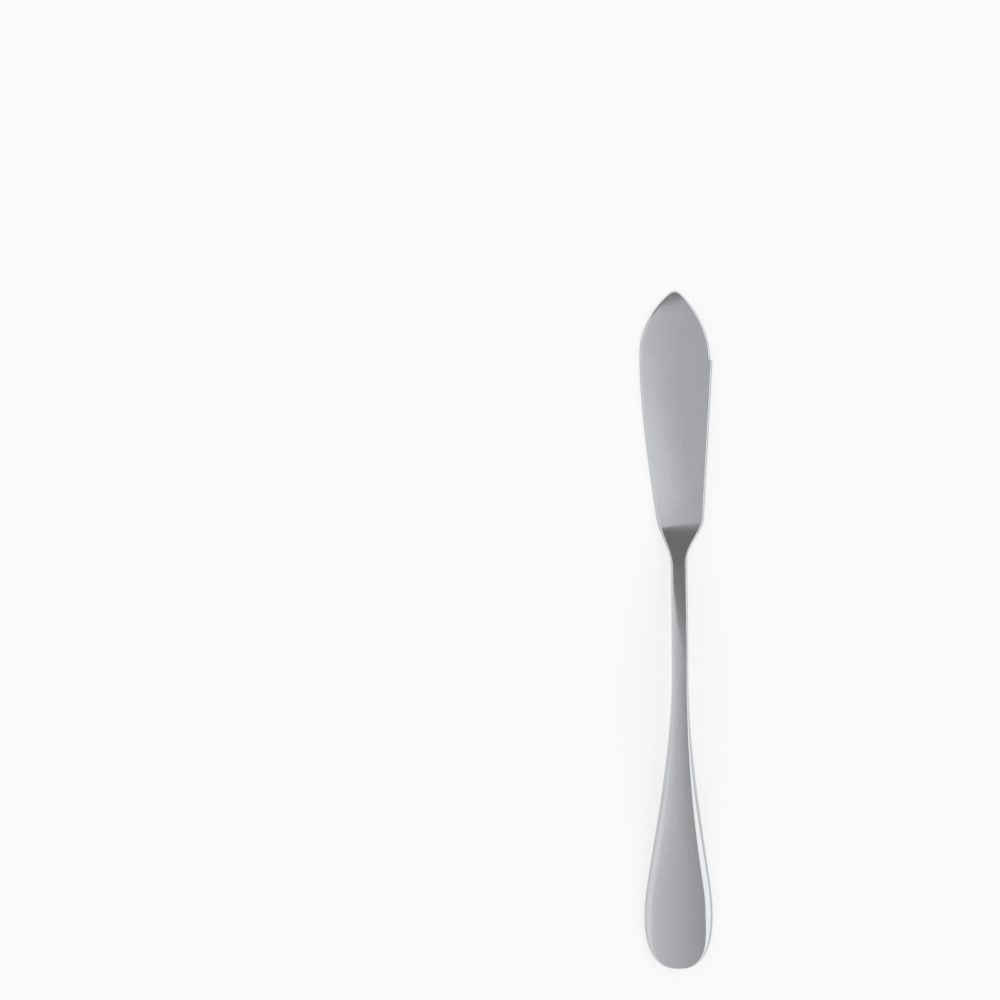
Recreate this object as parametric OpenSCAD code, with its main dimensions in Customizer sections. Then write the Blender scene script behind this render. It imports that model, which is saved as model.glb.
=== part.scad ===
// Butter knife, blade, neck and handle struck from one strip of stainless steel.
// It lies flat: +Z is up, the tip points to +Y, the cutting edge faces -X and the spine +X.
// Along the knife, places are distances from the tip. Across it, reaches are measured from the
// handle's axis. Rows of a table are [place, value, slope], and a smooth curve joins them.

/* [Blade outline] */
// From the tip to the heel, where the shoulders start
blade_len = 57; // [48:0.5:70]
// From the tip to the widest place of the cutting edge
belly_from_tip = 15.5; // [12:0.5:22]
// How far the rounding cuts the tip back from a sharp point
nose_len = 1.3; // [0.6:0.1:3]
// How far the tip stands from the handle's axis, towards the cutting edge
tip_shift = 0.9; // [0:0.1:3]
// Greatest reach of the cutting edge from the handle's axis
edge_reach = 9.8; // [8:0.1:13]
// Reach of the cutting edge at the heel
edge_heel_reach = 5.6; // [4.5:0.1:8]
// Reach of the spine at the heel
spine_heel_reach = 6.4; // [5:0.1:6.8]
// From the belly back to the small step in the spine
step_behind_belly = 1.7; // [0.5:0.1:5]
// How far the spine steps in, towards the tip
step_depth = 0.6; // [0.2:0.1:1]

/* [Blade section] */
// Thickness along the spine at the heel
spine_t = 1.8; // [1.4:0.1:2.6]
// Thickness at the tip
tip_t = 1.1; // [1:0.1:2]
// Thickness left at the cutting edge
edge_t = 0.6; // [0.5:0.1:1]
// Width over which the blade thins towards the cutting edge
grind_w = 10; // [3:0.5:12]
// Width over which the blade's rims round off
blade_round = 0.6; // [0.3:0.1:1.2]

/* [Shoulders and neck] */
// Length of the shoulder on the cutting edge's side
edge_shoulder_len = 12; // [9:0.5:18]
// Length of the shoulder on the spine's side
spine_shoulder_len = 10.5; // [9:0.5:18]
// Length of the slim neck, from the longer shoulder to the handle
neck_len = 27; // [15:1:40]
// Width of the neck
neck_w = 4.2; // [3.2:0.1:6]
// Thickness of the neck
neck_t = 3.2; // [2.6:0.1:4]
// How much lower the neck's face lies at the sides than along its middle
neck_crown = 0.22; // [0:0.02:0.4]
// Width over which the neck's face rolls over to its rim
neck_round = 0.5; // [0.3:0.1:1.5]

/* [Handle] */
// From the end of the neck to the start of the round end
flare_len = 50; // [40:1:65]
// From there to the widest place
widest_len = 10.5; // [7:0.5:15]
// From the widest place to the handle's end
end_len = 13.5; // [8:0.5:18]
// How much narrower the handle is where the round end starts
flare_narrowing = 2.1; // [1:0.1:4]
// Greatest width of the handle
handle_w = 17.1; // [14:0.1:22]
// Thickness of the handle at its widest place
handle_t = 2.5; // [2:0.1:3.2]
// Thickness of the handle at its very end
end_t = 2.2; // [1.8:0.1:3]
// How much lower the handle's face lies at the sides than along its middle
crown_h = 0.6; // [0:0.1:0.8]
// Width over which the handle's face rolls over to its rim, at its widest place
face_round = 2.2; // [1:0.1:3]
// Width of the same roll-over at the very end
end_round = 0.4; // [0.3:0.1:2]
// Width over which the handle's back rolls over to its rim
back_round = 1; // [0.5:0.1:2]

/* [Side profile] */
// Height of the neck's underside where the shoulders end
neck_lift = 1.2; // [0.5:0.1:2]
// From the end of the neck to the top of the arch
crest_behind_neck = 2; // [0:0.5:20]
// Height of the arch under the handle
arch_h = 5; // [3:0.5:10]
// From the handle's end to the place on which it rests
rest_from_end = 7.5; // [5:0.5:12]
// How far the very end lifts off the table again
end_lift = 0.5; // [0:0.1:1.5]

/* [Hidden] */

// Places along the knife
step_from_tip = belly_from_tip + step_behind_belly;
neck_from_tip = blade_len + max(edge_shoulder_len, spine_shoulder_len);
handle_from_tip = neck_from_tip + neck_len;
flare_from_tip = handle_from_tip + flare_len;
widest_from_tip = flare_from_tip + widest_len;
knife_len = widest_from_tip + end_len;
crest_from_tip = handle_from_tip + crest_behind_neck;
// Width of the handle where the round end starts
flare_w = handle_w - flare_narrowing;
// The spine lies in line with the handle's side
spine_reach = handle_w / 2;

// The step runs out over half its depth
step_run = step_depth / 2;
// Metal below the table's plane, ground off to give the flat that the blade lies on
ground_off = edge_t / 3;
// The handle's end is ground by a tenth of that
end_ground_off = ground_off / 10;
// Overrun of the cut below the knife
overrun = 1;

// Slopes, in width or height gained for each unit of length
edge_heel_slope_share = -0.14;
spine_slope_share = -0.053;
flare_slope_share = 0.15;
neck_rise_share = 0.2;
end_rise_share = 0.12;
// Power of the round end's curve: 2 is an ellipse, more is squarer
end_power_share = 2.5;
// Power of the roll-over's curve: 2 is an ellipse, less starts with a crisper line
roll_power_share = 2;
// Height of the rim line, as a share of the thickness there
rim_share = 0.5;
// Least slope of the distance function, as a share of the width, so that nothing divides by zero
level_slope_share = 0.001;

// Counts of steps along each stretch and across the face and the back
nose_steps = 22;
blade_steps = 16;
shoulder_steps = 16;
neck_steps = 10;
flare_steps = 24;
widest_steps = 6;
end_steps = 20;
face_steps = 22;
back_steps = 16;

// Curve through rows of [place, value, slope]: a cubic between each two neighbours
function row_before(rows, at, i = 0) =
    i + 2 < len(rows) && at > rows[i + 1][0] ? row_before(rows, at, i + 1) : i;
function ease(t) = t * t * (3 - 2 * t);
function between(a, b, run, t) =
    a[1] + (b[1] - a[1]) * ease(t)
    + run * a[2] * t * (1 - t) * (1 - t)
    - run * b[2] * t * t * (1 - t);
function curve_part(a, b, at) =
    between(a, b, b[0] - a[0], min(max((at - a[0]) / (b[0] - a[0]), 0), 1));
function curve(rows, at) =
    let (i = row_before(rows, at)) curve_part(rows[i], rows[i + 1], at);

// Pointed arch with a rounded nose: 0 at the tip, 1 and level after the given length
function nose_run(at) = sqrt(at * at + 2 * at * nose_len);
function pointed_arch(at, length) =
    at >= length ? 1 : 1 - pow(1 - nose_run(at) / nose_run(length), 2);

// Round end: 1 at the widest place, 0 at the handle's end
function round_end(at) =
    let (u = max(at - widest_from_tip, 0) / end_len)
    pow(1 - pow(min(u, 1), end_power_share), 1 / end_power_share);

// Outline of the handle's half, shared by both sides
handle_rows = [
    [handle_from_tip, neck_w / 2, 0],
    [flare_from_tip, flare_w / 2, flare_slope_share],
    [widest_from_tip, handle_w / 2, 0],
    [knife_len, handle_w / 2, 0]
];
edge_rows = concat([
    [belly_from_tip, edge_reach, 0],
    [blade_len, edge_heel_reach, edge_heel_slope_share],
    [blade_len + edge_shoulder_len, neck_w / 2, 0]
], handle_rows);
spine_rows = concat([
    [step_from_tip + step_run, spine_reach, spine_slope_share],
    [blade_len, spine_heel_reach, spine_slope_share],
    [blade_len + spine_shoulder_len, neck_w / 2, 0]
], handle_rows);

function edge_side(at) =
    at < belly_from_tip
    ? -tip_shift - (edge_reach - tip_shift) * pointed_arch(at, belly_from_tip)
    : -curve(edge_rows, at) * round_end(at);
// The spine has one curve before its step and another behind it
function spine_side(at, before_step) =
    before_step
    ? -tip_shift + (spine_reach - step_depth + tip_shift) * pointed_arch(at, step_from_tip)
    : curve(spine_rows, at) * round_end(at);

// Underside, thickness, crown and widths of rounding along the knife
under_rows = [
    [0, -ground_off, 0],
    [blade_len, -ground_off, 0],
    [neck_from_tip, neck_lift, neck_rise_share],
    [crest_from_tip, arch_h, 0],
    [knife_len - rest_from_end, -end_ground_off, 0],
    [knife_len, end_lift, end_rise_share]
];
thickness_rows = [
    [0, tip_t + ground_off, 0],
    [blade_len, spine_t + ground_off, 0],
    [neck_from_tip, neck_t, 0],
    [handle_from_tip, neck_t, 0],
    [widest_from_tip, handle_t, 0],
    [knife_len, end_t, 0]
];
crown_rows = [
    [blade_len, 0, 0],
    [neck_from_tip, neck_crown, 0],
    [handle_from_tip, neck_crown, 0],
    [flare_from_tip, crown_h, 0],
    [knife_len, crown_h, 0]
];
grind_rows = [
    [0, 1, 0],
    [blade_len - grind_w, 1, 0],
    [neck_from_tip, 0, 0]
];
face_round_rows = [
    [0, blade_round, 0],
    [blade_len, blade_round, 0],
    [neck_from_tip, neck_round, 0],
    [handle_from_tip, neck_round, 0],
    [flare_from_tip, face_round, 0],
    [widest_from_tip, face_round, 0],
    [knife_len, end_round, 0]
];
back_round_rows = [
    [0, blade_round, 0],
    [blade_len, blade_round, 0],
    [flare_from_tip, back_round, 0],
    [knife_len, back_round, 0]
];

// Thickness at a point: the full one, less the thinning towards the edge and the face's crown,
// which keeps its curve where the round end cuts it narrower
function grind_left(from_edge) = pow(1 - min(from_edge / grind_w, 1), 2);
function thickness(at, from_edge, across) =
    let (full = curve(thickness_rows, at))
    full
    - curve(grind_rows, at) * max(full - edge_t - ground_off, 0) * grind_left(from_edge)
    - curve(crown_rows, at) * pow((2 * across - 1) * round_end(at), 2);

// Distance from a point to the outline, to first order: F over the size of its gradient, where
// F is the product of the distances to the two sides
function rim_distance(x, edge, spine, edge_slope, spine_slope) =
    let (f = (x - edge) * (spine - x))
    let (fx = edge + spine - 2 * x)
    let (fy = spine_slope * (x - edge) - edge_slope * (spine - x))
    f / max(norm([fx, fy]), (spine - edge) * level_slope_share);

// Roll-over: 0 and upright at the rim, 1 and level once its width is passed
function rounding(distance, width) =
    sqrt(1 - pow(1 - min(distance / width, 1), roll_power_share));

// Shares across the width, crowded towards both rims
function across_share(i, steps) = (1 - cos(180 * i / steps)) / 2;

// One section: along the face from edge to spine, then along the back to the edge again
function section(at) =
    let (before_step = at <= step_from_tip)
    let (edge = edge_side(at))
    let (spine = spine_side(at, before_step))
    let (probe = min(step_run, at, knife_len - at) / 4)
    let (edge_slope = (edge_side(at + probe) - edge_side(at - probe)) / (2 * probe))
    let (spine_ahead = spine_side(at + probe, before_step))
    let (spine_slope = (spine_ahead - spine_side(at - probe, before_step)) / (2 * probe))
    let (under = curve(under_rows, at))
    let (face_width = curve(face_round_rows, at))
    let (back_width = curve(back_round_rows, at))
    [
        for (i = [0 : face_steps + back_steps - 1])
        let (on_face = i <= face_steps)
        let (across = on_face
            ? across_share(i, face_steps)
            : 1 - across_share(i - face_steps, back_steps))
        let (x = edge + (spine - edge) * across)
        let (t = thickness(at, x - edge, across))
        let (d = max(rim_distance(x, edge, spine, edge_slope, spine_slope), 0))
        let (z = on_face
            ? under + t * (rim_share + (1 - rim_share) * rounding(d, face_width))
            : under + t * rim_share * (1 - rounding(d, back_width)))
        [x, knife_len / 2 - at, z]
    ];

// Places of the sections, closer together towards the tip and the handle's end
function evenly(from, to, steps) = [for (i = [1 : steps]) from + (to - from) * i / steps];
section_places = concat(
    [for (i = [1 : nose_steps]) belly_from_tip * (1 - cos(90 * i / nose_steps))],
    [step_from_tip, step_from_tip + step_run],
    evenly(step_from_tip + step_run, blade_len, blade_steps),
    evenly(blade_len, neck_from_tip, shoulder_steps),
    evenly(neck_from_tip, handle_from_tip, neck_steps),
    evenly(handle_from_tip, flare_from_tip, flare_steps),
    evenly(flare_from_tip, widest_from_tip, widest_steps),
    [for (i = [1 : end_steps - 1]) widest_from_tip + end_len * sin(90 * i / end_steps)]
);

// The last point at each end, on the rim line
function end_point(at, x) =
    [x, knife_len / 2 - at, curve(under_rows, at) + curve(thickness_rows, at) * rim_share];

// Skin through all the sections, closed at both ends by a fan
module skin(sections, first_point, last_point) {
    ring = len(sections[0]);
    count = len(sections);
    points = concat([first_point], [for (s = sections) each s], [last_point]);
    last = len(points) - 1;
    function corner(row, i) = 1 + row * ring + i % ring;
    faces = concat(
        [for (i = [0 : ring - 1]) [0, corner(0, i + 1), corner(0, i)]],
        [
            for (row = [0 : count - 2])
            for (i = [0 : ring - 1])
            each [
                [corner(row, i), corner(row, i + 1), corner(row + 1, i + 1)],
                [corner(row, i), corner(row + 1, i + 1), corner(row + 1, i)]
            ]
        ],
        [for (i = [0 : ring - 1]) [last, corner(count - 1, i), corner(count - 1, i + 1)]]
    );
    polyhedron(points, faces);
}

module struck_blank() {
    skin(
        [for (at = section_places) section(at)],
        end_point(0, -tip_shift),
        end_point(knife_len, 0)
    );
}

// Everything below the table's plane, which the grinding takes off
module below_table() {
    reach = edge_reach + spine_reach + overrun;
    translate([-reach, -knife_len / 2 - overrun, -ground_off - overrun])
        cube([2 * reach, knife_len + 2 * overrun, ground_off + overrun]);
}

// The handle's axis is moved aside so that the knife's box is centred on the origin
module butter_knife() {
    axis_x = (edge_reach - spine_reach) / 2;
    color("#a5a7ab")
        translate([axis_x, 0, 0])
            difference() {
                struck_blank();
                below_table();
            }
}

butter_knife();
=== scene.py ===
# %% [markdown]
# # A butter knife in polished stainless steel
# The knife is one piece of metal. A strip is rolled thinner towards both ends, cut to the
# outline, struck between dies that give the handle its crowned face, and polished. So there is
# one piece to build here, and all the care goes into two things: a skin smooth enough to be
# reflected in, and a studio that gives polished metal something to reflect.

import bpy
import numpy as np
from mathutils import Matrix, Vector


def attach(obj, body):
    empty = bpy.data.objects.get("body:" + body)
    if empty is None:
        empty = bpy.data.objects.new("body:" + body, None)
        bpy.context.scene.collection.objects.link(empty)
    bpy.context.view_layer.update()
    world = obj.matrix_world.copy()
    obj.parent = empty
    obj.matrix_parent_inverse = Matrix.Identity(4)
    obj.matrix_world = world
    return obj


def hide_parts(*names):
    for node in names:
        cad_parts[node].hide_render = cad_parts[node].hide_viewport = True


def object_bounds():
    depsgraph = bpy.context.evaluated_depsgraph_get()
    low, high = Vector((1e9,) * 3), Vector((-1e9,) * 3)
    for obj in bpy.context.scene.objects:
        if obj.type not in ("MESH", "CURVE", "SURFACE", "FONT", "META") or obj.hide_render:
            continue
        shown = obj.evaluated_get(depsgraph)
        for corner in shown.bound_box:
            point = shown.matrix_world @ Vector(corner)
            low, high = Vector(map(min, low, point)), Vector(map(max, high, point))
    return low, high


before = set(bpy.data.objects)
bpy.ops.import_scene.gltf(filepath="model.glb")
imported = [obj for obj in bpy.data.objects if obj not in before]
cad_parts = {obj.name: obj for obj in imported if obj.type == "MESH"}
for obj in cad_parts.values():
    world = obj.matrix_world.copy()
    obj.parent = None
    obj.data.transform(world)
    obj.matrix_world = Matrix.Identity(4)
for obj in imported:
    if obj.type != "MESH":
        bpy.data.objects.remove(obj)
cad_low, cad_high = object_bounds()
print("nodes:", sorted(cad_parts), "low corner:", cad_low, "high corner:", cad_high)

# %% [markdown]
# ## Sizes
# The measured frame gives the knife's length and where its cutting edge lies. The other sizes
# are the maker's: places along the knife are distances from the tip, reaches are measured across
# from the handle's axis, and heights from the table. They are the same as in the solid model,
# so that the polished skin and the solid have one form.

# %% Sizes of the knife
mm = 0.001
knife_len = cad_high.y - cad_low.y

blade_len = 57 * mm
belly_from_tip = 15.5 * mm
step_behind_belly = 1.7 * mm
nose_len = 1.3 * mm
tip_shift = 0.9 * mm
edge_reach = 9.8 * mm
edge_heel_reach = 5.6 * mm
spine_heel_reach = 6.4 * mm
step_depth = 0.6 * mm
step_run = step_depth / 2

edge_shoulder_len = 12 * mm
spine_shoulder_len = 10.5 * mm
neck_len = 27 * mm
neck_w = 4.2 * mm
handle_w = 17.1 * mm
flare_narrowing = 2.1 * mm
end_len = 13.5 * mm
widest_len = 10.5 * mm

spine_reach = handle_w / 2
flare_w = handle_w - flare_narrowing
step_from_tip = belly_from_tip + step_behind_belly
widest_from_tip = knife_len - end_len
flare_from_tip = widest_from_tip - widest_len
neck_from_tip = blade_len + edge_shoulder_len
handle_from_tip = neck_from_tip + neck_len
axis_x = cad_low.x + edge_reach
print(f"knife {knife_len / mm:.1f} mm long, handle's axis at x = {axis_x / mm:.3f} mm")

# %% [markdown]
# ## One smooth curve for every measure
# Width, thickness and height all change along the knife without a kink, as rolled metal does.
# A spline through many points would do it, but a few rows of place, value and slope say more
# plainly what the form is: a cubic between each two rows takes care of the rest.

# %% A curve through rows of place, value and slope
def smooth_curve(rows, at):
    """Values, at all the places in at, of the curve through rows of (place, value, slope).

    Between two rows t runs from 0 to 1. The value is the first one, plus the rise times
    t^2 (3 - 2t), plus the run times (first slope times t (1 - t)^2, less last slope times
    t^2 (1 - t)). It leaves and meets each row at the row's own slope.
    """
    place, value, slope = np.array(rows, dtype=float).T
    i = np.clip(np.searchsorted(place, at) - 1, 0, len(place) - 2)
    run = place[i + 1] - place[i]
    t = np.clip((at - place[i]) / run, 0.0, 1.0)
    rise = (value[i + 1] - value[i]) * t**2 * (3 - 2 * t)
    bend = slope[i] * t * (1 - t) ** 2 - slope[i + 1] * t**2 * (1 - t)
    return value[i] + rise + run * bend


print("halfway up between two level rows:", smooth_curve([(0, 0, 0), (1, 1, 0)], 0.5))

# %% [markdown]
# ## The outline
# Seen from above, the blade is a leaf: two arcs meet in a blunted tip, the cutting edge swells
# to a belly, and the spine has a small step behind it. Shoulders run into a slim neck, and the
# handle flares to a round end. A pointed arch makes the tip, and a squared ellipse the end.

# %% Rows of the outline
# Slopes, as reach gained for each unit of length
heel_taper, spine_taper, flare_spread = -0.14, -0.053, 0.15

handle_rows = [
    (handle_from_tip, neck_w / 2, 0),
    (flare_from_tip, flare_w / 2, flare_spread),
    (widest_from_tip, handle_w / 2, 0),
    (knife_len, handle_w / 2, 0),
]
edge_rows = [
    (belly_from_tip, edge_reach, 0),
    (blade_len, edge_heel_reach, heel_taper),
    (blade_len + edge_shoulder_len, neck_w / 2, 0),
] + handle_rows
spine_rows = [
    (step_from_tip + step_run, spine_reach, spine_taper),
    (blade_len, spine_heel_reach, spine_taper),
    (blade_len + spine_shoulder_len, neck_w / 2, 0),
] + handle_rows
print(len(edge_rows), "rows for the edge's side and", len(spine_rows), "for the spine's")

# %% The two sides of the outline
# Power of the round end: 2 is an ellipse, more is squarer
end_power = 2.5


def pointed_arch(at, length):
    """0 at the tip, 1 and level from length on: 1 - (1 - r(at) / r(length))^2, where
    r(s) = sqrt(s^2 + 2 s nose_len) blunts the point."""
    reached = np.clip(at, 0, length)
    run = np.sqrt(reached**2 + 2 * reached * nose_len)
    return 1 - (1 - run / np.sqrt(length**2 + 2 * length * nose_len)) ** 2


def round_end(at):
    """1 up to the widest place, then (1 - u^p)^(1/p), with u from 0 to 1 over the end."""
    u = np.clip((at - widest_from_tip) / end_len, 0, 1)
    return (1 - u**end_power) ** (1 / end_power)


def edge_side(at):
    """x of the cutting edge's side: the pointed arch up to the belly, then the curve."""
    tip_part = -tip_shift - (edge_reach - tip_shift) * pointed_arch(at, belly_from_tip)
    return np.where(at < belly_from_tip, tip_part, -smooth_curve(edge_rows, at) * round_end(at))


def spine_side(at, before_step):
    """x of the spine's side: the pointed arch before the step, the curve behind it."""
    rise = spine_reach - step_depth + tip_shift
    tip_part = -tip_shift + rise * pointed_arch(at, step_from_tip)
    return np.where(before_step, tip_part, smooth_curve(spine_rows, at) * round_end(at))


blade_w = spine_side(step_from_tip + step_run, False) - edge_side(belly_from_tip)
print(f"blade {blade_w / mm:.2f} mm wide from the belly to the step")

# %% [markdown]
# ## Side profile and thickness
# Seen from the side the blade lies flat, the neck rises out of it, and the handle arches over
# to rest near its end, so that fingers get under it. The metal is thickest at the neck, where
# the knife would bend, and the blade thins towards its cutting edge.

# %% Thickness of the steel
spine_t = 1.8 * mm
tip_t = 1.1 * mm
edge_t = 0.6 * mm
neck_t = 3.2 * mm
handle_t = 2.5 * mm
end_t = 2.2 * mm
# Steel below the table's plane. Ground off, it gives the flat that the blade lies on, and a
# tenth of it gives the narrow flat under the handle's end
ground_off = edge_t / 3
end_ground_off = ground_off / 10

thickness_rows = [
    (0, tip_t + ground_off, 0),
    (blade_len, spine_t + ground_off, 0),
    (neck_from_tip, neck_t, 0),
    (handle_from_tip, neck_t, 0),
    (widest_from_tip, handle_t, 0),
    (knife_len, end_t, 0),
]
print(f"{tip_t / mm:.1f} mm thick at the tip and {neck_t / mm:.1f} mm at the neck")

# %% Height of the underside
neck_lift = 1.2 * mm
crest_behind_neck = 2 * mm
arch_h = 5 * mm
rest_from_end = 7.5 * mm
end_lift = 0.5 * mm
# Slopes, as height gained for each unit of length
neck_rise, end_rise = 0.2, 0.12

under_rows = [
    (0, -ground_off, 0),
    (blade_len, -ground_off, 0),
    (neck_from_tip, neck_lift, neck_rise),
    (handle_from_tip + crest_behind_neck, arch_h, 0),
    (knife_len - rest_from_end, -end_ground_off, 0),
    (knife_len, end_lift, end_rise),
]
print(f"the handle arches {arch_h / mm:.1f} mm over the table")

# %% Crowned face and thinned edge
neck_crown = 0.22 * mm
crown_h = 0.6 * mm
grind_w = 10 * mm

crown_rows = [
    (blade_len, 0, 0),
    (neck_from_tip, neck_crown, 0),
    (handle_from_tip, neck_crown, 0),
    (flare_from_tip, crown_h, 0),
    (knife_len, crown_h, 0),
]
grind_rows = [(0, 1, 0), (blade_len - grind_w, 1, 0), (neck_from_tip, 0, 0)]


def thickness(at, from_edge, across):
    """Full thickness, less the thinning (1 - distance from the edge / grind_w)^2, which leaves
    edge_t at the cutting edge, less the crown's fall ((2 across - 1) round_end)^2 towards both
    sides, which keeps its curve where the round end cuts it narrower."""
    full = smooth_curve(thickness_rows, at)
    thinning = (1 - np.clip(from_edge / grind_w, 0, 1)) ** 2
    spare = np.maximum(full - edge_t - ground_off, 0)
    fall = smooth_curve(crown_rows, at) * ((2 * across - 1) * round_end(at)) ** 2
    return full - smooth_curve(grind_rows, at) * spare * thinning - fall


ground_edge_t = thickness(blade_len / 2, 0.0, 0.0) - ground_off
print(f"{ground_edge_t / mm:.1f} mm thick at the cutting edge, halfway along the blade")

# %% [markdown]
# ## Rolled rims
# Polishing wheels round every rim, and that narrow roll-over is what makes metal look like
# metal: it bends the reflection of a whole room into a bright line. It could be a Bevel
# modifier, but its width changes along the knife. So the height falls with the distance to the
# outline, which a product of the two side distances gives all the way round the ends too.

# %% Widths of the roll-over
blade_round = 0.6 * mm
neck_round = 0.5 * mm
face_round = 2.2 * mm
end_round = 0.4 * mm
back_round = 1 * mm

face_round_rows = [
    (0, blade_round, 0),
    (blade_len, blade_round, 0),
    (neck_from_tip, neck_round, 0),
    (handle_from_tip, neck_round, 0),
    (flare_from_tip, face_round, 0),
    (widest_from_tip, face_round, 0),
    (knife_len, end_round, 0),
]
back_round_rows = [
    (0, blade_round, 0),
    (blade_len, blade_round, 0),
    (flare_from_tip, back_round, 0),
    (knife_len, back_round, 0),
]
print(f"rims roll over in {neck_round / mm:.1f} to {face_round / mm:.1f} mm")

# %% Distance to the outline, and the roll-over
# Height of the rim line, as a share of the thickness there
rim_share = 0.5
# Power of the roll-over: 2 is an ellipse, less starts with a crisper line
roll_power = 2
# Least slope of the distance, as a share of the width, so that nothing is divided by zero
level_slope = 0.001


def rim_distance(x, edge, spine, edge_slope, spine_slope):
    """Distance to the outline, to first order: F = (x - edge)(spine - x), which is 0 on both
    sides, over the length of its gradient along x and along the knife."""
    f = (x - edge) * (spine - x)
    fx = edge + spine - 2 * x
    fy = spine_slope * (x - edge) - edge_slope * (spine - x)
    return f / np.maximum(np.hypot(fx, fy), (spine - edge) * level_slope)


def rounding(distance, width):
    """0 and upright at the rim, 1 and level once width is passed: sqrt(1 - (1 - d/w)^p)."""
    return np.sqrt(1 - (1 - np.clip(distance / width, 0, 1)) ** roll_power)


print(f"halfway in, a rim has risen by {rounding(1.0, 2.0):.0%} of its height")

# %% [markdown]
# ## The skin as one grid
# The skin is a function of two parameters: the place along the knife, and the share of the way
# across it, which runs over the face from edge to spine and back underneath. Both are crowded
# where the form turns quickly, which is at the rims and towards the two ends.

# %% Places along the knife, and shares across
nose_steps, blade_steps, shoulder_steps, neck_steps = 60, 80, 60, 48
flare_steps, widest_steps, end_steps = 90, 24, 60
face_steps, back_steps = 72, 40


def evenly(start, stop, steps):
    """The given number of equal steps from start to stop, without start itself."""
    return np.linspace(start, stop, steps + 1)[1:]


def quarter_turn(steps):
    """Angles over a quarter turn, in equal steps."""
    return np.linspace(0, np.pi / 2, steps + 1)


along = np.concatenate([
    belly_from_tip * (1 - np.cos(quarter_turn(nose_steps)[1:])),
    [step_from_tip, step_from_tip + step_run],
    evenly(step_from_tip + step_run, blade_len, blade_steps),
    evenly(blade_len, neck_from_tip, shoulder_steps),
    evenly(neck_from_tip, handle_from_tip, neck_steps),
    evenly(handle_from_tip, flare_from_tip, flare_steps),
    evenly(flare_from_tip, widest_from_tip, widest_steps),
    widest_from_tip + end_len * np.sin(quarter_turn(end_steps)[1:-1]),
])
face_shares = (1 - np.cos(np.linspace(0, np.pi, face_steps + 1))) / 2
back_shares = (1 + np.cos(np.linspace(0, np.pi, back_steps + 1))) / 2
around = np.concatenate([face_shares, back_shares[1:-1]])
on_face = np.arange(len(around)) <= face_steps
print(f"grid of {len(along)} sections with {len(around)} points each")


# %% The skin's points, all at once
# The outline's slope is taken over a short probe: this share of the step's run, or less at the
# two ends
probe_share = 0.25


def knife_skin(at, across, on_face):
    """Points of the skin for a column of places and a row of shares across.

    x runs from the edge to the spine. On the face, z is the underside plus the thickness times
    (rim_share + (1 - rim_share) rounding), and on the back the underside plus the thickness
    times rim_share (1 - rounding). What would lie below the table is ground flat, at z = 0.
    """
    before_step = at <= step_from_tip
    edge, spine = edge_side(at), spine_side(at, before_step)
    probe = np.minimum(np.minimum(at, knife_len - at), step_run) * probe_share
    edge_slope = (edge_side(at + probe) - edge_side(at - probe)) / (2 * probe)
    spine_ahead = spine_side(at + probe, before_step)
    spine_slope = (spine_ahead - spine_side(at - probe, before_step)) / (2 * probe)
    x = edge + (spine - edge) * across
    steel = thickness(at, x - edge, across)
    distance = np.maximum(rim_distance(x, edge, spine, edge_slope, spine_slope), 0)
    face_roll = rounding(distance, smooth_curve(face_round_rows, at))
    back_roll = rounding(distance, smooth_curve(back_round_rows, at))
    over_face = steel * (rim_share + (1 - rim_share) * face_roll)
    over_back = steel * rim_share * (1 - back_roll)
    z = smooth_curve(under_rows, at) + np.where(on_face, over_face, over_back)
    y = np.broadcast_to(cad_high.y - at, x.shape)
    return np.stack([axis_x + x, y, np.maximum(z, 0)], axis=-1)


def rim_point(at, x):
    """The point that closes one end, on the rim line."""
    z = smooth_curve(under_rows, at) + smooth_curve(thickness_rows, at) * rim_share
    return np.array([[axis_x + x, cad_high.y - at, z]])


grid = knife_skin(along[:, None], around[None, :], on_face[None, :])
tip, end = rim_point(0.0, -tip_shift), rim_point(knife_len, 0.0)
print("skin from", grid.min(axis=(0, 1)) / mm, "to", grid.max(axis=(0, 1)) / mm, "mm")

# %% [markdown]
# ## From the grid to a closed mesh
# Quads join each section to the next, and a fan of triangles closes each end, so the mesh is
# watertight. Every face is wound the same way, outwards. The volume under the skin, summed from
# the faces, tells whether it is: a skin turned inside out gives a negative one.

# %% Closed mesh
def closed_mesh(name, first, grid, last):
    """A mesh of the grid's quads, closed by a fan to the point first and one to last."""
    rows, ring = grid.shape[:2]
    index = 1 + np.arange(rows * ring).reshape(rows, ring)
    after = np.roll(index, -1, axis=1)
    quads = np.stack([index[:-1], index[1:], after[1:], after[:-1]], axis=-1).reshape(-1, 4)
    last_index = rows * ring + 1
    first_fan = np.stack([np.zeros(ring, int), index[0], after[0]], axis=-1)
    last_fan = np.stack([np.full(ring, last_index), after[-1], index[-1]], axis=-1)
    points = np.concatenate([first, grid.reshape(-1, 3), last])
    mesh = bpy.data.meshes.new(name)
    faces = quads.tolist() + first_fan.tolist() + last_fan.tolist()
    mesh.from_pydata(points.tolist(), [], faces)
    mesh.shade_smooth()
    return mesh


# %% The knife's skin, and the volume under it
def enclosed_volume(mesh):
    """Sum over the triangles of corner a dot (b cross c), over 6."""
    mesh.calc_loop_triangles()
    corners = np.zeros(len(mesh.loop_triangles) * 3, np.int32)
    mesh.loop_triangles.foreach_get("vertices", corners)
    places = np.zeros(len(mesh.vertices) * 3)
    mesh.vertices.foreach_get("co", places)
    a, b, c = places.reshape(-1, 3)[corners.reshape(-1, 3)].transpose(1, 0, 2)
    return np.einsum("ij,ij->", a, np.cross(b, c)) / 6


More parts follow.
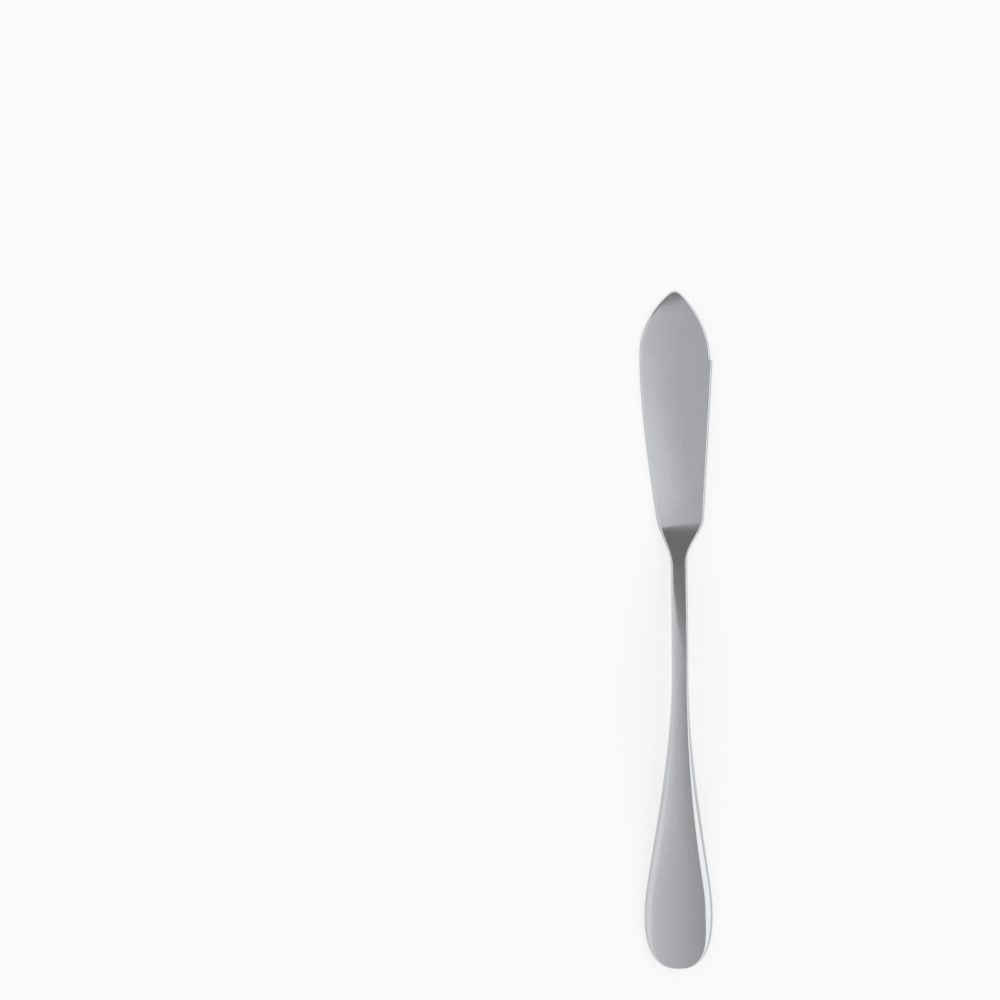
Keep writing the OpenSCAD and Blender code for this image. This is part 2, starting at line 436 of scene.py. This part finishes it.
knife_mesh = closed_mesh("polished_knife", tip, grid, end)
knife = bpy.data.objects.new("polished_knife", knife_mesh)
bpy.context.scene.collection.objects.link(knife)
volume = enclosed_volume(knife_mesh)
print(f"{len(knife_mesh.loop_triangles)} triangles, {volume / mm**3:.0f} mm3 of steel")

# %% [markdown]
# The spine's step is a true corner, so its edges are kept sharp, and everything else is smooth.

# %% Sharp edges
sharp_angle = np.radians(30)
knife_mesh.set_sharp_from_angle(angle=sharp_angle)
print(f"edges sharper than {np.degrees(sharp_angle):.0f} degrees stay sharp")

# %% [markdown]
# ## Working out colours and joining nodes
# A colour is picked as it looks on a screen and the renderer needs it linear, so one function
# turns it. One other small function adds a node, sets it and links it, which keeps each
# material readable as a list of what it is made of.

# %% Two helpers for materials
def linear(hex_colour):
    """An sRGB colour such as "#c0c2c5" as linear red, green, blue and alpha 1."""
    srgb = np.array([int(hex_colour[i : i + 2], 16) for i in (1, 3, 5)]) / 255
    low, high = srgb / 12.92, ((srgb + 0.055) / 1.055) ** 2.4
    return (*np.where(srgb <= 0.04045, low, high).tolist(), 1.0)


def add_node(tree, kind, settings=None, values=None, links=None):
    """A node of this kind with its settings, its input values and its incoming links."""
    node = tree.nodes.new(kind)
    for name, setting in (settings or {}).items():
        setattr(node, name, setting)
    for socket, value in (values or {}).items():
        node.inputs[socket].default_value = value
    for socket, source in (links or {}).items():
        tree.links.new(source, node.inputs[socket])
    return node


print(f"the screen's middle grey is {linear('#808080')[0]:.3f} in linear light")

# %% [markdown]
# ## Polished 18/10 stainless steel
# The strip leaves the rolls with a grain along its length, and the wheels polish most of it
# away. What is left is a trace of grain finer than a hair, the fine mottling of the polish, a
# slight cloudiness where the wheel pressed harder, and the odd pit. To the eye that is a neutral
# grey metal, a little cool, with reflections that are soft but keep crisp borders.
#
# One way is an image of a real surface. Noise worked out in space needs no image, fits every
# side of the knife and stays with it. So there is one noise for each cause, and cells with a pit
# in some of them. The noises vary the shade. The pits are painted shade: dark spots in the
# colour where a pit's hollow would hold shade, with no hollow in the surface. The mottling and
# the grain also vary the height, and the grain the roughness.

# %% Colour, roughness and patterns of the steel
steel_colour = "#c8cacd"
steel_roughness = 0.1
cloud_size = 14 * mm
cloud_depth = 0.1
# The real mottling, grain and pits are finer than a tenth of a millimetre. They are drawn this
# coarse so that a picture's pixels can show them
mottle_size = 0.6 * mm
mottle_depth = 0.15
mottle_height = 0.003 * mm
grain_width = 0.3 * mm
grain_length = 5 * mm
grain_depth = 0.05
grain_height = 0.001 * mm
grain_roughness = 0.1
# Each pit is painted shade: a dark spot in the colour, darkest in its middle, and no hollow in
# the surface
pit_spacing = 1.3 * mm
pit_radius = 0.13 * mm
painted_pit_darkening = 0.35
# Noise runs from 0 to 1 about its middle
noise_middle = 0.5

print(f"grain {grain_width / mm:.1f} mm wide, a pit in some cells of {pit_spacing / mm:.1f} mm")

# %% Noise of the polish, and the painted shade of its pits
def polish_patterns(tree):
    """Clouds, mottling and grain as heights from 0 to 1, and the pits' painted shade, which is
    1, or 1 less the pits' darkening in the middle of a pit: a dark spot painted where a pit's
    hollow would hold shade."""
    place = add_node(tree, "ShaderNodeTexCoord").outputs["Object"]
    noise = []
    for size, detail in (
        ((cloud_size, cloud_size, cloud_size), 2.0),
        ((mottle_size, mottle_size, mottle_size), 3.0),
        ((grain_width, grain_length, grain_width), 2.0),
    ):
        spread = add_node(
            tree, "ShaderNodeMapping",
            values={"Scale": tuple(1 / s for s in size)},
            links={"Vector": place},
        ).outputs["Vector"]
        noise.append(add_node(
            tree, "ShaderNodeTexNoise",
            values={"Scale": 1.0, "Detail": detail},
            links={"Vector": spread},
        ).outputs["Fac"])
    from_pit = add_node(
        tree, "ShaderNodeTexVoronoi",
        values={"Scale": 1 / pit_spacing},
        links={"Vector": place},
    ).outputs["Distance"]
    # Painted shade of the pits: the colour darkens towards the middle of each spot, as shade in
    # a hollow would
    painted_pit_shade = add_node(
        tree, "ShaderNodeMapRange",
        values={"From Max": pit_radius / pit_spacing, "To Min": 1 - painted_pit_darkening, "To Max": 1.0},
        links={"Value": from_pit},
    ).outputs["Result"]
    return (*noise, painted_pit_shade)


# %% Shade and relief of the polish
def steel_shade(tree, clouds, mottle, grain, painted_pit_shade):
    """The steel's colour times the pits' painted shade, and for each noise times 1 plus its
    depth times its height over the middle."""
    shade = painted_pit_shade
    for pattern, depth in ((clouds, cloud_depth), (mottle, mottle_depth), (grain, grain_depth)):
        share = add_node(
            tree, "ShaderNodeMath", settings={"operation": "MULTIPLY_ADD"},
            values={1: depth, 2: 1 - noise_middle * depth},
            links={0: pattern},
        ).outputs["Value"]
        shade = add_node(
            tree, "ShaderNodeMath", settings={"operation": "MULTIPLY"},
            links={0: shade, 1: share},
        ).outputs["Value"]
    return add_node(
        tree, "ShaderNodeVectorMath", settings={"operation": "SCALE"},
        values={0: linear(steel_colour)[:3]},
        links={"Scale": shade},
    ).outputs["Vector"]


def steel_relief(tree, mottle, grain):
    """The surface's direction, tilted by the heights of the mottling and the grain."""
    tilted = {}
    for pattern, height in ((mottle, mottle_height), (grain, grain_height)):
        bump = add_node(
            tree, "ShaderNodeBump",
            values={"Strength": 1.0, "Distance": height},
            links={"Height": pattern, **tilted},
        )
        tilted = {"Normal": bump.outputs["Normal"]}
    return tilted["Normal"]


# %% Stainless steel, rolled and polished
def polished_steel():
    """The knife's only material. The grain also varies its roughness about the middle."""
    material = bpy.data.materials.new("polished_stainless_steel")
    material.use_nodes = True
    tree = material.node_tree
    tree.nodes.clear()
    clouds, mottle, grain, painted_pit_shade = polish_patterns(tree)
    roughness = add_node(
        tree, "ShaderNodeMath", settings={"operation": "MULTIPLY_ADD"},
        values={1: grain_roughness, 2: steel_roughness - noise_middle * grain_roughness},
        links={0: grain},
    ).outputs["Value"]
    surface = add_node(
        tree, "ShaderNodeBsdfPrincipled",
        values={"Metallic": 1.0},
        links={
            "Base Color": steel_shade(tree, clouds, mottle, grain, painted_pit_shade),
            "Roughness": roughness,
            "Normal": steel_relief(tree, mottle, grain),
        },
    ).outputs["BSDF"]
    add_node(tree, "ShaderNodeOutputMaterial", links={"Surface": surface})
    return material


knife_mesh.materials.append(polished_steel())
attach(knife, "root")
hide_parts("butter_knife")
print("dressed", knife.name, "in", knife_mesh.materials[0].name)

# %% [markdown]
# ## The table under it
# A white sweep of card. One way to get a white ground is more and more light, but then the knife
# is burnt out too. So the card itself gives the camera and the metal most of its white, and only
# the rest comes from the light on it, which is enough to keep the knife's soft shadow. Further
# out it gives all of its white, and no line shows where the card ends.

# %% How much of its own white the card shows
# The studio's sizes are in metres
near_knife, far_off = 0.1, 0.5
own_white = 0.7


def shown_white(tree):
    """Share of what is seen of the card that is its own white: own_white near the knife and 1
    far off. It is 0 for the card's part in lighting other things."""
    place = add_node(tree, "ShaderNodeTexCoord").outputs["Object"]
    distance = add_node(
        tree, "ShaderNodeVectorMath", settings={"operation": "LENGTH"},
        links={0: place},
    ).outputs["Value"]
    share = add_node(
        tree, "ShaderNodeMapRange",
        settings={"interpolation_type": "SMOOTHSTEP"},
        values={"From Min": near_knife, "From Max": far_off, "To Min": own_white, "To Max": 1.0},
        links={"Value": distance},
    ).outputs["Result"]
    path = add_node(tree, "ShaderNodeLightPath").outputs
    seen = path["Is Camera Ray"]
    for ray in ("Is Glossy Ray", "Is Transmission Ray"):
        seen = add_node(
            tree, "ShaderNodeMath", settings={"operation": "MAXIMUM"},
            links={0: seen, 1: path[ray]},
        ).outputs["Value"]
    return add_node(
        tree, "ShaderNodeMath", settings={"operation": "MULTIPLY"},
        links={0: seen, 1: share},
    ).outputs["Value"]


print(f"near the knife {own_white:.0%} of what is seen of the card is its own white")

# %% White card that keeps a shadow
card_white = "#fafafa"
white = (1, 1, 1, 1)


def white_sweep():
    """Matt white card, mixed with a glow that is its own white."""
    material = bpy.data.materials.new("white_sweep")
    material.use_nodes = True
    tree = material.node_tree
    tree.nodes.clear()
    matt = add_node(
        tree, "ShaderNodeBsdfDiffuse",
        values={"Color": linear(card_white)},
    ).outputs["BSDF"]
    glow = add_node(
        tree, "ShaderNodeEmission",
        values={"Color": white, "Strength": 1.0},
    ).outputs["Emission"]
    mixed = add_node(
        tree, "ShaderNodeMixShader",
        links={"Fac": shown_white(tree), 1: matt, 2: glow},
    ).outputs["Shader"]
    add_node(tree, "ShaderNodeOutputMaterial", links={"Surface": mixed})
    return material


# %% Cards of the studio, and the floor
floor_size = 6.0
floor_drop = 0.1 * mm


def card(name, points, faces, material):
    """A flat or bent card. It belongs to the studio, not to the knife."""
    mesh = bpy.data.meshes.new(name)
    mesh.from_pydata(points.tolist(), [], faces.tolist())
    mesh.materials.append(material)
    made = bpy.data.objects.new(name, mesh)
    bpy.context.scene.collection.objects.link(made)
    return made


def level_card(name, low, high, z, material):
    """A level rectangle from low to high, each (x, y), at height z."""
    (x0, y0), (x1, y1) = low, high
    corners = np.array([(x0, y0, z), (x1, y0, z), (x1, y1, z), (x0, y1, z)])
    return card(name, corners, np.array([(0, 1, 2, 3)]), material)


half = floor_size / 2
level_card("floor", (-half, -half), (half, half), -floor_drop, white_sweep())
print("floor", floor_size, "m square")

# %% [markdown]
# ## The studio
# Polished metal has no look of its own: it shows the room. Here the room is a white tent with a
# scrim of cloth overhead, lit from the left, so its glow falls off to the right, where it ends
# and a softbox takes over. That jump is the crisp light band along the handle's right side. A
# dark cloth over the scrim's far corner is what the neck reflects, and a grey card stands in
# front, where the photographer would. Each of these can be a lamp or a card that glows. Cards
# were chosen wherever the glow changes across them, because a lamp's is even.

# %% Glow of the scrim, and the dark cloth's place
scrim_height = 0.9
scrim_low, scrim_high = (-1.0, -1.0), (0.36, 1.0)
# Share of the way across, and how bright the cloth is there, with 1 for white
scrim_stops = [(0.0, 1.03), (0.4, 1.0), (0.6, 0.86), (0.68, 0.73), (0.77, 0.66), (1.0, 0.43)]
# The dark cloth begins past the line x + slant y = line_at and grows denser to the back
cloth_slant, cloth_line, cloth_softness = 1.8, 0.39, 0.02
cloth_thin, cloth_dense, cloth_glow = 0.025, 0.42, 0.24
print("scrim from", scrim_low, "to", scrim_high, "m, at", scrim_height, "m")

# %% Light from the left, and the dark cloth
def glow_from_left(tree, x):
    """The scrim's glow at x, which follows scrim_stops across it."""
    across = add_node(
        tree, "ShaderNodeMapRange",
        values={"From Min": scrim_low[0], "From Max": scrim_high[0]},
        links={"Value": x},
    ).outputs["Result"]
    from_left = add_node(tree, "ShaderNodeValToRGB", links={"Fac": across})
    stops = from_left.color_ramp.elements
    stops[0].position, stops[1].position = scrim_stops[0][0], scrim_stops[-1][0]
    for position, _ in scrim_stops[1:-1]:
        stops.new(position)
    for stop, (_, glow) in zip(stops, scrim_stops):
        stop.color = (glow, glow, glow, 1)
    return from_left.outputs["Color"]


def dark_cloth(tree, x, y):
    """How dense the dark cloth is at x and y: 0 before its line, and past it denser with y."""
    slanted = add_node(
        tree, "ShaderNodeMath", settings={"operation": "MULTIPLY_ADD"},
        values={1: cloth_slant}, links={0: y, 2: x},
    ).outputs["Value"]
    covered = add_node(
        tree, "ShaderNodeMapRange",
        values={"From Min": cloth_line - cloth_softness, "From Max": cloth_line},
        links={"Value": slanted},
    ).outputs["Result"]
    density = add_node(
        tree, "ShaderNodeMapRange",
        settings={"interpolation_type": "SMOOTHSTEP"},
        values={"From Min": cloth_thin, "From Max": cloth_dense},
        links={"Value": y},
    ).outputs["Result"]
    return add_node(
        tree, "ShaderNodeMath", settings={"operation": "MULTIPLY"},
        links={0: covered, 1: density},
    ).outputs["Value"]


# %% Scrim overhead
def lit_scrim():
    """White cloth that glows from the left, less the dark cloth over its far corner."""
    material = bpy.data.materials.new("lit_scrim")
    material.use_nodes = True
    tree = material.node_tree
    tree.nodes.clear()
    place = add_node(tree, "ShaderNodeTexCoord").outputs["Object"]
    parts = add_node(tree, "ShaderNodeSeparateXYZ", links={"Vector": place}).outputs
    strength = add_node(
        tree, "ShaderNodeMix",
        values={"B": cloth_glow},
        links={
            "Factor": dark_cloth(tree, parts["X"], parts["Y"]),
            "A": glow_from_left(tree, parts["X"]),
        },
    ).outputs["Result"]
    glow = add_node(
        tree, "ShaderNodeEmission",
        values={"Color": white}, links={"Strength": strength},
    ).outputs["Emission"]
    add_node(tree, "ShaderNodeOutputMaterial", links={"Surface": glow})
    return material


scrim = level_card("scrim", scrim_low, scrim_high, scrim_height, lit_scrim())
scrim.visible_camera = False
print("hung", scrim.name, "in", scrim.data.materials[0].name)

# %% [markdown]
# The grey card stands upright in front. A strip of grey card also runs round the tent's foot.
# From above it draws the fine grey line along the rims, and from near the table it gives the
# knife's sides something darker than white to show.

# %% Grey card that stands upright
def grey_card(name, height, glow):
    """Card that stands on the table and glows from glow[0] at its foot to glow[1] at height."""
    material = bpy.data.materials.new(name)
    material.use_nodes = True
    tree = material.node_tree
    tree.nodes.clear()
    place = add_node(tree, "ShaderNodeTexCoord").outputs["Object"]
    parts = add_node(tree, "ShaderNodeSeparateXYZ", links={"Vector": place}).outputs
    strength = add_node(
        tree, "ShaderNodeMapRange",
        values={"From Max": height, "To Min": glow[0], "To Max": glow[1]},
        links={"Value": parts["Z"]},
    ).outputs["Result"]
    light = add_node(
        tree, "ShaderNodeEmission",
        values={"Color": white}, links={"Strength": strength},
    ).outputs["Emission"]
    add_node(tree, "ShaderNodeOutputMaterial", links={"Surface": light})
    return material


def upright(name, foot, height, glow):
    """A strip of grey card that stands on the points foot, which are rows of x and y."""
    low = np.column_stack([foot, np.zeros(len(foot))])
    high = np.column_stack([foot, np.full(len(foot), height)])
    i = np.arange(len(foot) - 1)
    faces = np.stack([i, i + 1, len(foot) + i + 1, len(foot) + i], axis=-1)
    made = card(name, np.concatenate([low, high]), faces, grey_card(name, height, glow))
    made.visible_camera = False
    return made


# %% Grey card in front, and a low grey ring around
card_y, card_half_w, card_h = -1.2, 1.4, 0.9
card_glow = (0.75, 0.75)
ring_radius, ring_h, ring_sides = 1.3, 0.5, 96
ring_glow = (0.68, 0.95)

turn = np.linspace(0, 2 * np.pi, ring_sides + 1)
ring_foot = ring_radius * np.column_stack([np.cos(turn), np.sin(turn)])
card_foot = np.array([(-card_half_w, card_y), (card_half_w, card_y)])
upright("front_card", card_foot, card_h, card_glow)
upright("low_ring", ring_foot, ring_h, ring_glow)
print("grey card", card_h, "m high at y =", card_y, "and a ring", ring_h, "m high")

# %% [markdown]
# The softbox is an area lamp, turned towards the knife. A lamp doesn't hide what is behind it,
# so the box adds its glow to the white tent's.

# %% Softbox on the right
box_place = (0.75, 0.0, 0.85)
box_w, box_h = 2.0, 1.3
box_glow = 0.4

box_lamp = bpy.data.lights.new("right_softbox", "AREA")
box_lamp.shape = "RECTANGLE"
box_lamp.size, box_lamp.size_y = box_w, box_h
# Its face looks glow times as bright as white when it gives glow times pi watts a square metre
box_lamp.energy = box_glow * np.pi * box_w * box_h
right_box = bpy.data.objects.new("right_softbox", box_lamp)
right_box.location = box_place
right_box.rotation_euler = (-right_box.location).to_track_quat("-Z", "Y").to_euler()
right_box.visible_camera = False
bpy.context.scene.collection.objects.link(right_box)
print(f"softbox of {box_lamp.energy:.1f} W")

# %% [markdown]
# The tent is the world itself: the same plain white from every side, at strength 1. A dome of
# mesh would do it too, but the world can't get in a camera's way.

# %% White tent around
world = bpy.data.worlds.new("white_tent")
bpy.context.scene.world = world
world.use_nodes = True
tent = world.node_tree.nodes["Background"]
tent.inputs["Color"].default_value = white
tent.inputs["Strength"].default_value = 1.0
print("world", world.name, "at strength", tent.inputs["Strength"].default_value)

# %% [markdown]
# ## The camera
# The picture is 1000 pixels square and looks straight down. One pixel is a quarter of a
# millimetre at the height of the knife's rims, so that the knife is 678 pixels long, and the
# knife lies in the right half of the frame. A long lens keeps the outline true.

# %% Camera straight above
picture_px = 1000
knife_px = 678
knife_centre_px = (676.2, 629.6)
sensor_w = 36.0
lens = 100.0
rim_height = 1.3 * mm

metres_per_px = knife_len / knife_px
camera_height = rim_height + picture_px * metres_per_px * lens / sensor_w
camera_data = bpy.data.cameras.new("camera")
camera_data.sensor_width = sensor_w
camera_data.lens = lens
camera = bpy.data.objects.new("camera", camera_data)
camera.location = (
    (picture_px / 2 - knife_centre_px[0]) * metres_per_px,
    (knife_centre_px[1] - picture_px / 2) * metres_per_px,
    camera_height,
)
bpy.context.scene.collection.objects.link(camera)
bpy.context.scene.camera = camera
bpy.context.scene.view_settings.view_transform = "Standard"
print(f"camera {camera_height:.3f} m above the table")
